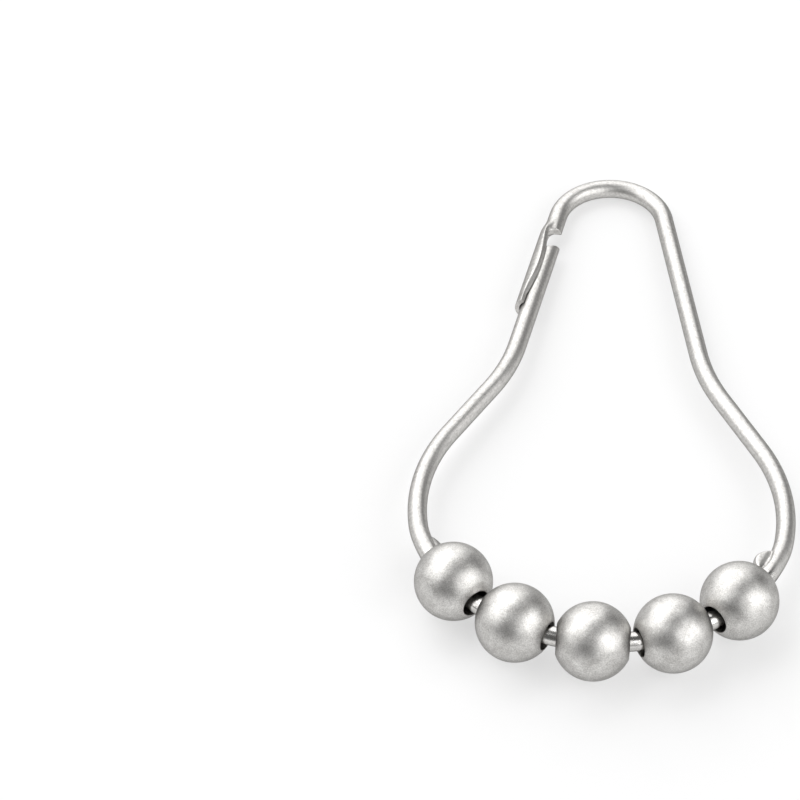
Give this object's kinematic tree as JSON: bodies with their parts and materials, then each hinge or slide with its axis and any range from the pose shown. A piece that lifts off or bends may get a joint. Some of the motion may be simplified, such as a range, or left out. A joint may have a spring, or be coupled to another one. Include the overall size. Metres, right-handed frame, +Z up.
{
  "type": "shower curtain hook",
  "caption": "Pear-shaped wire ring that hangs a shower curtain from a rod: roller balls run on its wide end, and a snap clasp opens one leg of its narrow end.",
  "frame": {"origin": "on the floor under the middle of the bounding box, with the hook lying as it comes to rest", "axes": "+Y from the balls to the narrow end, +X to the right seen from above with the balls nearest, +Z up"},
  "size_m": [0.0398, 0.0724, 0.008],
  "materials": {
    "satin_wire": "satin nickel plating on drawn wire",
    "satin_ball": "tumbled satin nickel plating"
  },
  "bodies": {
    "ring": {"ring_wire": "satin_wire"},
    "ball_1": {"roller_ball_1": "satin_ball"},
    "ball_2": {"roller_ball_2": "satin_ball"},
    "ball_3": {"roller_ball_3": "satin_ball"},
    "ball_4": {"roller_ball_4": "satin_ball"},
    "ball_5": {"roller_ball_5": "satin_ball"}
  },
  "joints": [
    {"name": "ball_1_roll", "type": "hinge", "parent": "ring", "child": "ball_1", "pos_m": [-0.01461, -0.02541, 0.004], "axis": [0.6452, -0.7633, 0.0336], "continuous": true},
    {"name": "ball_2_roll", "type": "hinge", "parent": "ring", "child": "ball_2", "pos_m": [-0.0082, -0.03034, 0.004], "axis": [0.9033, -0.4287, 0.0189], "continuous": true},
    {"name": "ball_3_roll", "type": "hinge", "parent": "ring", "child": "ball_3", "pos_m": [-0.00033, -0.03219, 0.004], "axis": [0.9998, -0.0174, 0.0008], "continuous": true},
    {"name": "ball_4_roll", "type": "hinge", "parent": "ring", "child": "ball_4", "pos_m": [0.0076, -0.03062, 0.004], "axis": [0.9177, 0.3969, -0.0175], "continuous": true},
    {"name": "ball_5_roll", "type": "hinge", "parent": "ring", "child": "ball_5", "pos_m": [0.01417, -0.02591, 0.004], "axis": [0.6715, 0.7403, -0.0326], "continuous": true}
  ]
}
